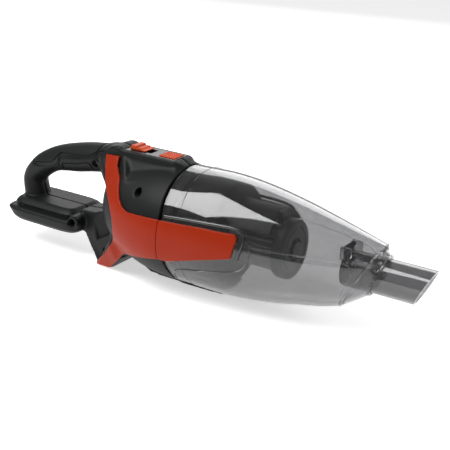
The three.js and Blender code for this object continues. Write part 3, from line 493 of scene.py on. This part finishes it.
# The nozzle, in the same resin as the cup but in a darker tone: painted shade that makes it look darker
shaded_smoke_nozzle = finish_of("shaded_smoke_nozzle", ("#8E8E8F", "#949495"), (0.04, 0.08), 8.0, 0.02, CLEAR_RESIN)
# The frame round the covers is the same resin over black, so it shines like lacquer
bezel_gloss = finish_of("bezel_gloss", ("#1B1C1D", "#202122"), (0.06, 0.1), 6.0, 0.02, {"IOR": 1.65})

SLOT_FINISH = {
    "charcoal_abs": charcoal_abs,
    "orange_abs": orange_abs,
    "soft_grip": soft_tpe,
    "black_plastic": black_nylon,
    "smoke_clear": smoke_clear,
    "filter_paper": filter_felt,
    "rubber": nitrile,
    "spring_steel": drawn_steel,
    "zinc_steel": zinc_plate,
    "aluminium": cast_aluminium,
    "copper": stamped_copper,
}
# The duct is moulded in the cup's resin
NODE_FINISH = {"inlet_duct": smoke_clear}


def dress_frame_nodes():
    for part in frame["record"]["subparts"]:
        obj = frame["nodes"][part["node"]]
        finish = NODE_FINISH.get(part["node"], SLOT_FINISH[part["material_slot"]])
        obj.data.materials.clear()
        obj.data.materials.append(finish)


# ---- motor housing ----
NECK = [
    (-134, 27, 16), (-126, 23, 17), (-101, 0, 28), (-86, 0, 28), (-70, 22, 28),
    (-70, 60, 26), (-92, 58, 24), (-113, 49, 18), (-134, 47, 16),
]
LEG = [
    (-101, 0, 29), (-81, 0, 29), (-66, 14, 37), (-46, 32, 46),
    (-50, 60, 46), (-68, 60, 46), (-74, 36, 44), (-86, 20, 38),
]
SHOULDER = [
    (-106, 94, 17), (-106, 112, 17), (-88, 117, 16), (-76, 117, 17),
    (-66, 108, 28), (-58, 98, 38), (-72, 88, 42), (-88, 88, 32),
]
CONSOLE = [
    (-106, 112), (-96, CONSOLE_TOP), (-90, CONSOLE_TOP + 2.5), (-85, CONSOLE_TOP + 2.5),
    (-79, CONSOLE_TOP), (-19, CONSOLE_TOP), (-13, CONSOLE_TOP - 3), (-10, SEAM_TOP), (-10, 104), (-106, 98),
]
CONSOLE_FLANK = [
    (-84, 118, 14.5), (-16, 118, 14.5), (-11, 112, 22), (-30, 106, 31),
    (-50, 101, 36), (-62, 97, 39), (-84, 95, 31),
]
# Levels of the battery foot from its underside up: a tapering body, a ridge, a slit and the top plate.
# Each has a height, a rear end, a front end and a half width
FOOT_LEVELS = [
    (23.5, -213.5, -132, 29), (27.5, -217.5, -126, 32.5), (34.5, -222, -124, 34),
    (36.5, -FOOT_REAR, -124.5, 34), (38.2, -221, -128, 31), (38.6, -215.5, -136, 25.5),
    (41.4, -215.5, -136, 25.5), (41.8, -217, -134, 28.5), (44.6, -215.5, -137, 26), (47, -213, -140, 22),
]
FOOT_SQUARENESS = 7  # the power of the foot's rounded outline
# The round boss on each side of the foot, and the battery slot inside the foot
BOSS_RADIUS = 6.6
BOSS_X = -131
BOSS_Z = 37.6
SLOT_FRONT = -140
SLOT_TOP = 35.5
# The housing's chin, which reaches forward under the cup, and the room that the seam's cut leaves for it
CHIN = [
    (-12, 38.5), (-5, 38.5), (-1, 29), (3.5, 15), (10, 9.5), (24, 6.5), (45, 4.2), (46, -5), (-12, -5),
]
CHIN_ROOM = [(-10, -3), (-10, 30), (-6, 38.7), (0, 30), (4, 16), (46, 12), (46, -3)]
CHIN_THICKNESS = 1.5
CHIN_GAP = 0.4
CUP_GAP = 0.38  # a hair less than the chin's, so that the two cuts share no face
# The belly rail that the vacuum rests on
RAIL = [(-56, 11.5), (-50, 4), (-44, 1), (-34, 0), (41, 0), (45, 2), (45, 11.5)]
RAIL_HALF_WIDTH = 13
# The slanted recess in the side of the neck
NECK_RECESS = [(-113.5, 42), (-95, 54.5), (-87, 34.5), (-105.4, 22.7)]
# x from and to, half width, and z from and to of the pockets in the console: for its plate, the power
# slider, the release button and the cup's tongue
CONSOLE_POCKETS = [
    (-79.3, -20.3, 12.3, 118.2, 142), (-77.5, -50.5, 8, 98.4, 122),
    (-42.5, -20, 11, 105.8, 122), (-21, 5, 7.6, 113.1, 115),
]
FILTER_MOUTH_RADIUS = 53
VENT_BOTTOM = 62
VENT_PITCH = 6
VENT_WIDTH = 3
SCREW_HOLE_RADIUS = 3.9
SCREW_HEAD_Y = 8
# Fine moulded grooves on the sides of the handle
GROOVE_RADIUS = 1.25
HANDLE_GROOVES = [
    [
        (-198.8, 84), (-191, 83), (-163, 90.8), (-158.7, 99.2),
        (-136, 104.4), (-114, 109), (-110, 113.5), (-100, 115),
    ],
    [(-162, 88.5), (-156.6, 98), (-134, 102.4), (-112, 106.2), (-103, 98)],
    [(-157.5, 86.5), (-155.8, 92), (-138, 96), (-121, 99.6), (-117, 94.5)],
]
GRIP_ZONE = [
    (-104, 140), (-114, 112), (-122, 106.5), (-160, 103), (-170, 92),
    (-205, 84), (-219, 84), (-240, 80), (-240, 140),
]
SCREW_PLACES = [(-38.5, 94), (-58, 20), (-113, 100.5), (-132, 37), (-92, 14)]


def barrel(grow=0):
    return station_loft(HOUSING_STATIONS, grow)


def handle(grow=0):
    return swept_bar(HANDLE_PATH, grow)


def strut(grow=0):
    return join(*[tapered_prism(points, grow) for points in (NECK, LEG, SHOULDER)])


def battery_foot():
    """The foot's levels lofted from the underside up, each a rectangle with rounded corners."""
    def section(t):
        place = t * (len(FOOT_LEVELS) - 1)
        i = min(int(place), len(FOOT_LEVELS) - 2)
        lower, upper = FOOT_LEVELS[i], FOOT_LEVELS[i + 1]
        z, rear, front, half = [p + (q - p) * (place - i) for p, q in zip(lower, upper)]

        def at(a, b):
            power = FOOT_SQUARENESS
            reach = (abs(a) ** power + abs(b) ** power) ** (-1 / power)
            return (rear + front) / 2 + a * reach * (front - rear) / 2, b * reach * half, z

        return at

    return loft(len(FOOT_LEVELS) - 1, 96, section)


def on_handle(x, z):
    """The point of the handle's right side at a distance from the seam and a height."""
    line = [Vector((p[0], p[1])) for p in HANDLE_PATH]
    size = [Vector((p[2], p[3], i)) for i, p in enumerate(HANDLE_PATH)]
    place = Vector((x, z))
    t = min((i / 300 for i in range(301)), key=lambda t: (through(line, t) - place).length)
    thick, wide, _ = through(size, t)
    off = (through(line, t) - place).length / thick
    return Vector((x, -wide * math.sqrt(max(1 - off * off, 0.02)), z))


def curve_through(points, spacing=1.6):
    """Evenly many points on a smooth curve through the given ones."""
    length = sum((b - a).length for a, b in zip(points, points[1:]))
    count = max(int(length / spacing), 8)
    return [through(points, i / count) for i in range(count + 1)]


def ahead_of_seam(distance):
    """All the space ahead of the leaning seam, from a distance past it."""
    def edge(z):
        return SEAM_LEAN * (z - AXIS_Z) + distance, z

    return prism([edge(-60), (600, -60), (600, 260), edge(260)], -150, 150)


def console_plan():
    """The console's outline from above, with its front corners cut off."""
    right = [(-200, -CONSOLE_HALF_WIDTH), (-17, -CONSOLE_HALF_WIDTH), (-10, 7 - CONSOLE_HALF_WIDTH)]
    return plan_prism(right + [(x, -y) for x, y in reversed(right)], 60, 160)


def handle_groove(path):
    return bead(curve_through([on_handle(x, z) for x, z in path]), GROOVE_RADIUS, 8)


def outer_form():
    """Barrel, handle, strut and console as one body, its edges rounded."""
    rough = join(barrel(), handle(-GRIP_THICKNESS - GAP), strut(), tapered_prism(CONSOLE_FLANK))
    rough = join(rough, cut(handle(), prism(GRIP_ZONE, -40, 40)))
    console = common(prism(CONSOLE, -CONSOLE_HALF_WIDTH, CONSOLE_HALF_WIDTH), console_plan())
    return moulded(join(rough, console), 1.2, 9)


def chin():
    skin = cut(station_loft(CUP_STATIONS, CHIN_THICKNESS), station_loft(CUP_STATIONS, CHIN_GAP, 4))
    return common(skin, prism(CHIN, -80, 80), block(-40, 60, -80, 80, 0.4, 60))


def battery_slot():
    """The undercut slot that a battery pack slides into, open at the back and below."""
    rear = -FOOT_REAR - 2.5
    return [
        block(rear, SLOT_FRONT, -24, 24, 27.5, SLOT_TOP),
        block(rear, SLOT_FRONT, -19, 19, 16, SLOT_TOP),
    ]


def console_pockets():
    return [block(x0, x1, -half, half, z0, z1) for x0, x1, half, z0, z1 in CONSOLE_POCKETS]


def vents():
    levels = [VENT_BOTTOM + i * VENT_PITCH for i in range(5)]
    return [block(-102, -80, -16, 16, z, z + VENT_WIDTH) for z in levels]


def screw_holes():
    return [rod(SCREW_HOLE_RADIUS, (x, -80, z), (x, -SCREW_HEAD_Y, z)) for x, z in SCREW_PLACES]


def housing_half():
    """The right half, solid but for the mouth that takes the filter and the shallow openings."""
    boss = rod(BOSS_RADIUS, (BOSS_X, -30.5, BOSS_Z), (BOSS_X, 0, BOSS_Z))
    rail = prism(RAIL, -RAIL_HALF_WIDTH, RAIL_HALF_WIDTH)
    rough = join(outer_form(), chin(), rail, battery_foot(), boss)
    seam_cut = cut(ahead_of_seam(-SEAM_GAP / 2), prism(CHIN_ROOM, -70, 70))
    cup_room = station_loft(CUP_STATIONS, CUP_GAP, 3)
    underside = block(-250, 60, -80, 80, -30, 0)
    filter_mouth = rod(FILTER_MOUTH_RADIUS, (-34, 0, AXIS_Z), (20, 0, AXIS_Z), 96)
    neck_recess = prism(NECK_RECESS, -60, -18.5)
    neck_hole = rod(2.2, (-136, -14, 15), (-118, -14, 29), 32)
    left_half = block(-300, 300, -0.15, 100, -20, 200)
    openings = [*battery_slot(), neck_recess, neck_hole, *console_pockets(), *vents(), *screw_holes()]
    half = cut(rough, seam_cut, cup_room, underside, filter_mouth, *openings, left_half)
    return cut(moulded(half, 1.0, 2), *[handle_groove(path) for path in HANDLE_GROOVES])


PANEL_SPLIT = -3.5  # where the housing's cover ends and the cup's begins
HOUSING_PANEL = [
    (PANEL_SPLIT - SEAM_GAP, 78.5), (-25, 77.5), (-43, 76.5), (-50, 79), (-56, 84), (-63, 93.5),
    (-68, 100), (-77, 108), (-80, 116), (-98, 114), (-94, 103), (-87, 92), (-77, 85), (-68, 76),
    (-62.5, 66), (-61, 56), (-63, 46), (-69, 35), (-82, 19.4), (-99.6, 3.2), (-99.6, -1), (-83.5, -1),
    (-68, 13.5), (-56, 26), (-51.5, 28.6), (PANEL_SPLIT - SEAM_GAP, 39.5),
]
CUP_PANEL = [
    (PANEL_SPLIT, 78.5), (PANEL_SPLIT, 39.5), (6, 40), (43, 51.5),
    (73.5, 59.5), (77, 78), (74, 81.5), (39, 81),
]
PANEL_OUTSIDE = PANEL_THICKNESS + GAP


def housing_panel():
    """The orange cover that follows the barrel, the handle's root and the leg."""
    def skin_at(grow, rounds):
        return moulded(join(barrel(grow), handle(grow), strut(grow)), 1.2, rounds)

    skin = skin_at(PANEL_OUTSIDE, 20)
    under = skin_at(0.1, 9)
    common(skin, prism(HOUSING_PANEL, -90, -12))
    cut(skin, under, block(-300, 300, -100, 100, -10, 0))
    return moulded(skin, 0.6, 3)


def cup_panel():
    """The cup's own orange cover, which reaches back a little over the seam."""
    skin = join(station_loft(CUP_STATIONS, PANEL_OUTSIDE), barrel(PANEL_OUTSIDE))
    common(skin, prism(CUP_PANEL, -90, -12))
    cut(skin, join(station_loft(CUP_STATIONS, GAP), barrel(GAP)))
    return moulded(skin, 0.55, 3)


def build_housing():
    both_sides(housing_half(), "housing_shell", charcoal_abs, "housing", "housing")
    both_sides(housing_panel(), "side_cover", orange_abs, "housing", "side_panel")
    grip = common(cut(handle(), handle(-GRIP_THICKNESS)), prism(GRIP_ZONE, -40, 40))
    groove = handle_groove(HANDLE_GROOVES[0])
    grip = cut(moulded(grip, 0.55, 3), mirrored(groove), groove)
    piece(grip, "grip_skin", soft_tpe, "housing", ["handle_grip"])


# ---- dust cup and nozzle ----
def cup_front(grow):
    """The slanted front between the cup's rim and the nozzle."""
    rise = (RIM_TOP - RIM_BOTTOM) / 2

    def section(t):
        tall = rise + (NOZZLE_RADIUS + CUP_WALL - rise) * t + grow
        wide = RIM_HALF_WIDTH + (NOZZLE_RADIUS + CUP_WALL - RIM_HALF_WIDTH) * t + grow
        middle = (RIM_TOP + RIM_BOTTOM) / 2
        middle += (NOZZLE_Z - middle) * t
        lean = RIM_LEAN + (NOZZLE_ROOT_LEAN - RIM_LEAN) * t
        x = CUP_LENGTH - 0.01 + (NOZZLE_ROOT - CUP_LENGTH) * t + (grow * 0.8 if grow < 0 else 0)
        return lambda a, b: (x + lean * b * tall, a * wide, middle + b * tall)

    return loft(6, ROUND_SIDES, section)


def on_cup(x, z, side, lift=0.0):
    """The point of the cup's outside at a distance from the seam and a height."""
    low, high = 0.0, 1.0
    for _ in range(30):
        t = (low + high) / 2
        centre, middle, rise, _, lean = station_at(CUP_STATIONS, t)
        if centre + lean * (z - middle) < x:
            low = t
        else:
            high = t
    _, middle, rise, half, _ = station_at(CUP_STATIONS, t)
    across = math.sqrt(max(1 - ((z - middle) / rise) ** 2, 0.0))
    return Vector((x, side * (half * across + lift), z))


# The raised frame round the orange cover, the flange behind it, and the crease along the front
BEZEL_RADIUS = 1.9
BEZEL = [
    (1, 82.4), (20, 83.8), (40, 84.8), (60, 85.4), (73, 85),
    (79.5, 82.5), (81.2, 78), (80.6, 69), (78.6, 60),
]
FLANGE = [
    (81, 79.5), (86, 76.2), (89.4, 72.4), (89.8, 66), (88, 58), (84, 51.4),
    (77, 47), (45, 39.4), (18, 33.4), (10.5, 28.5), (6.5, 19), (5, 9),
]
CREASE = [
    (89.6, 72.4), (112, 72), (134, 72.4), (158, 71.8), (171.5, 70.4),
    (176.6, 66), (175.4, 57), (171, 47), (167, 36), (165, 28),
]
NOZZLE_COLLAR_RADIUS = 19


def circle_angles(count):
    return [2 * math.pi * i / count for i in range(count)]


def section_ring(t, swell=0.0):
    """Points round the cup's section at t, from 0 at the seam to 1 at the rim."""
    x, middle, rise, half, lean = station_at(CUP_STATIONS, t, swell)
    return [
        Vector((x + lean * math.sin(a) * rise, half * math.cos(a), middle + rise * math.sin(a)))
        for a in circle_angles(96)
    ]


def nozzle_root_ring():
    """Points round the place where the nozzle leaves the cup's front."""
    radius = NOZZLE_COLLAR_RADIUS
    return [
        Vector((
            NOZZLE_ROOT + NOZZLE_ROOT_LEAN * math.sin(a) * radius,
            radius * math.cos(a),
            NOZZLE_Z + radius * math.sin(a),
        ))
        for a in circle_angles(72)
    ]


def cup_ribs():
    """Beads along the flange and the crease on both sides, round the rim, the nozzle and near the seam."""
    ribs = []
    for side in (-1, 1):
        for path, radius in ((FLANGE, 0.8), (CREASE, 0.6)):
            ribs.append(bead(curve_through([on_cup(x, z, side) for x, z in path]), radius, 10))
    ribs.append(bead(section_ring(1.0, swell=-0.4), 0.8, 10, True))
    ribs.append(bead(nozzle_root_ring(), 1.0, 10, True))
    ribs.append(bead(section_ring(0.075), 0.3, 8, True))
    return ribs


def cover_bezel(side):
    """The dark gloss frame along the top and front of the orange cover."""
    path = [on_cup(x, z, side, lift=0.4) for x, z in BEZEL]
    return bead(curve_through(path, spacing=1.0), BEZEL_RADIUS, 16)


def latch_tongue():
    """The cup's tongue under the console, with the window that the latch's tooth holds it by."""
    window = block(-17.1, -12.9, -5.6, 5.6, 112, 117)
    return cut(block(-20, 1, -7, 7, 113.4, 114.8), window)


def dust_cup():
    """The clear shell with its ribs, its hole for the nozzle and the tongue that the latch holds."""
    outer = join(station_loft(CUP_STATIONS), cup_front(0), *cup_ribs())
    inner = join(station_loft(CUP_STATIONS, -CUP_WALL, 1), cup_front(-CUP_WALL))
    nozzle_hole = rod(NOZZLE_RADIUS + GAP, (FLAP_X, 0, NOZZLE_Z), (NOZZLE_TIP, 0, NOZZLE_Z), 96)
    shell = cut(outer, inner, nozzle_hole)
    common(shell, ahead_of_seam(SEAM_GAP / 2))
    return join(shell, latch_tongue())


def nozzle_tube():
    """The round tube that carries on from the cup, its mouth cut at a slant."""
    def leaned(radius, x0, x1):
        def section(t):
            x, lean = x0 + (x1 - x0) * t, NOZZLE_TIP_LEAN * t
            return lambda a, b: (x + lean * b * radius, a * radius, NOZZLE_Z + b * radius)

        return loft(6, 96, section)

    inside = leaned(NOZZLE_RADIUS - NOZZLE_WALL, NOZZLE_REAR - 2, NOZZLE_TIP + 0.02)
    return cut(leaned(NOZZLE_RADIUS, NOZZLE_REAR, NOZZLE_TIP), inside)


# ---- filter ----
# x and radius of each turned piece's outline
HOOD_COLLAR = [
    (1, 45.2), (1, 47.7), (7, 47.7), (7, 50.5), (44, 50), (47.4, 49.2), (49.4, 47.4), (50, 45), (50, 15),
    (47, 15), (47, 44), (44, 47), (7, 45.2),
]
END_CAP = [
    (98, 0), (98, 26.8), (98.6, 28), (100, 28.4), (107, 28.4), (108.4, 27.8), (109, 26.4), (109, 21.5),
    (108.2, 21), (108.2, 19.8), (109, 19.3), (109, 11.5), (107, 11), (107, 9), (111, 8.2), (111, 0),
]
ARM_TIP = 97.7
# x and height above the axis of the arm's side
ARM_SIDE = [(40, 16), (ARM_TIP, 20), (97.2, 29), (95, 34), (89.7, 40), (40, 40)]
ARM_RADIUS = 37
ARM_WALL = 3
PLEAT_COUNT = 26
PLEAT_RADIUS = 21.6
PLEAT_DEPTH = 2.4
PLEAT_START = 50.3
PLEAT_LENGTH = 47.4


def filter_hood():
    """The collar round the filter's root, with the curved arm that reaches over the pleats."""
    def bar(radius, x0, x1):
        return rod(radius, (x0, 0, AXIS_Z), (x1, 0, AXIS_Z), ROUND_SIDES)

    collar = turned(HOOD_COLLAR)
    arm = cut(bar(ARM_RADIUS, 49, ARM_TIP), bar(ARM_RADIUS - ARM_WALL, 50, 110))
    arm = common(arm, prism([(x, AXIS_Z + z) for x, z in ARM_SIDE], -40, 40))
    finger = block(92.7, ARM_TIP, -9, 9, 83.9, 95.5)
    return moulded(join(collar, arm, finger), 0.8, 2)


def pleats():
    """The folded fleece, with 20 facets to a fold."""
    def section(t):
        x = PLEAT_START + PLEAT_LENGTH * t

        def at(a, b):
            radius = PLEAT_RADIUS + PLEAT_DEPTH * math.cos(PLEAT_COUNT * math.atan2(b, a))
            return x, a * radius, AXIS_Z + b * radius

        return at

    return loft(2, 20 * PLEAT_COUNT, section)


def build_filter():
    piece(filter_hood(), "filter_hood", black_nylon, "filter", ["filter_frame"])
    piece(pleats(), "pleated_filter", filter_felt, "filter", ["filter_pleats"])
    piece(turned(END_CAP), "filter_end_cap", cap_abs, "filter", ["filter_cap"])


# ---- controls ----
BUTTON_X = -31.5
KNURL_Z = 122.9
KNURL_RADIUS = 0.75
KNURL_PITCH = 3.2
KNURL_LENGTH = 26


def knurled_button():
    """The release button, with two sets of fine grooves that cross over its top."""
    bars = []
    for i in range(-6, 7):
        for lean in (-1, 1):
            centre = Vector((BUTTON_X + i * KNURL_PITCH, 0, KNURL_Z))
            way = Vector((1, lean, 0)).normalized() * KNURL_LENGTH / 2
            bars.append(rod(KNURL_RADIUS, centre - way, centre + way, 8))
    return moulded(cut(cad_copy("release_button"), *bars), 0.3, 1)


def build_controls():
    piece(knurled_button(), "cup_release", button_abs, "release", ["release_button"])
    slider = moulded(cad_copy("power_slider"), 0.3, 3)
    piece(slider, "power_switch_slider", button_abs, "slider", ["power_slider"])
    spring = cad_copy("release_spring")
    piece(spring, "return_spring", drawn_steel, "housing", ["release_spring"])
    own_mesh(spring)
    plate = moulded(cad_copy("console_plate"), 0.45, 2)
    piece(plate, "switch_plate", plate_abs, "housing", ["console_plate"])


def build_cup():
    piece(dust_cup(), "clear_cup", smoke_clear, "cup", ["dust_cup"])
    # The nozzle takes the darker copy of the cup's resin, which is painted shade
    piece(nozzle_tube(), "clear_nozzle", shaded_smoke_nozzle, "cup", ["nozzle_tube"])
    piece(cover_bezel(-1), "cover_bezel_right", bezel_gloss, "cup")
    piece(cover_bezel(1), "cover_bezel_left", bezel_gloss, "cup")
    both_sides(cup_panel(), "cup_cover", orange_abs, "cup", "cup_panel")


# ---- camera, floor and light, in metres ----
CAMERA_PLACE = (0.445, -0.708, 0.3737)
CAMERA_TARGET = (0.0229, 0, 0.0655)
CAMERA_ROLL = math.radians(3.1)
LIGHT_TARGET = (0, 0, 0.06)
# name, place, width and length, and watts
SOFTBOXES = [
    ("softbox_key", (-0.5, -0.5, 1.15), (0.75, 0.85), 15),
    ("softbox_back", (-0.35, 1.7, 0.9), (3.6, 1.0), 25),
    ("softbox_right", (1.3, -0.2, 0.9), (0.35, 0.7), 3),
]


def aimed(obj, place, target, roll=0.0):
    """Puts a camera or light in the scene at a place, looking at the target."""
    back = (Vector(place) - Vector(target)).normalized()
    right = Vector((0, 0, 1)).cross(back).normalized()
    up = back.cross(right)
    turned_right = right * math.cos(roll) + up * math.sin(roll)
    turned_up = up * math.cos(roll) - right * math.sin(roll)
    matrix = Matrix((turned_right, turned_up, back)).transposed().to_4x4()
    matrix.translation = Vector(place)
    obj.matrix_world = matrix
    bpy.context.scene.collection.objects.link(obj)
    return obj


def build_studio():
    scene = bpy.context.scene
    lens = bpy.data.cameras.new("camera")
    lens.sensor_width = 36
    lens.lens = 73.8
    camera = bpy.data.objects.new("camera", lens)
    scene.camera = aimed(camera, CAMERA_PLACE, CAMERA_TARGET, CAMERA_ROLL)
    bm = bmesh.new()
    bmesh.ops.create_grid(bm, x_segments=8, y_segments=8, size=6)
    floor = body(bm)
    floor.name = "floor"
    glow = {"Emission Color": (1, 1, 1, 1), "Emission Strength": 0.55}
    pale = finish_of("pale_floor", ("#F2F2F2", "#F6F6F6"), (0.8, 0.9), 60, 0.0, glow, patch_mm=400)
    floor.data.materials.append(pale)
    world = bpy.data.worlds.new("studio")
    world.use_nodes = True
    background = world.node_tree.nodes["Background"]
    background.inputs["Color"].default_value = (1, 1, 1, 1)
    background.inputs["Strength"].default_value = 0.3
    scene.world = world
    scene.view_settings.view_transform = "Standard"
    for name, place, size, power in SOFTBOXES:
        light = bpy.data.lights.new(name, "AREA")
        light.shape = "RECTANGLE"
        light.size, light.size_y = size
        light.energy = power
        aimed(bpy.data.objects.new(name, light), place, LIGHT_TARGET)


dress_frame_nodes()
build_studio()
build_housing()
build_controls()
build_filter()
build_cup()
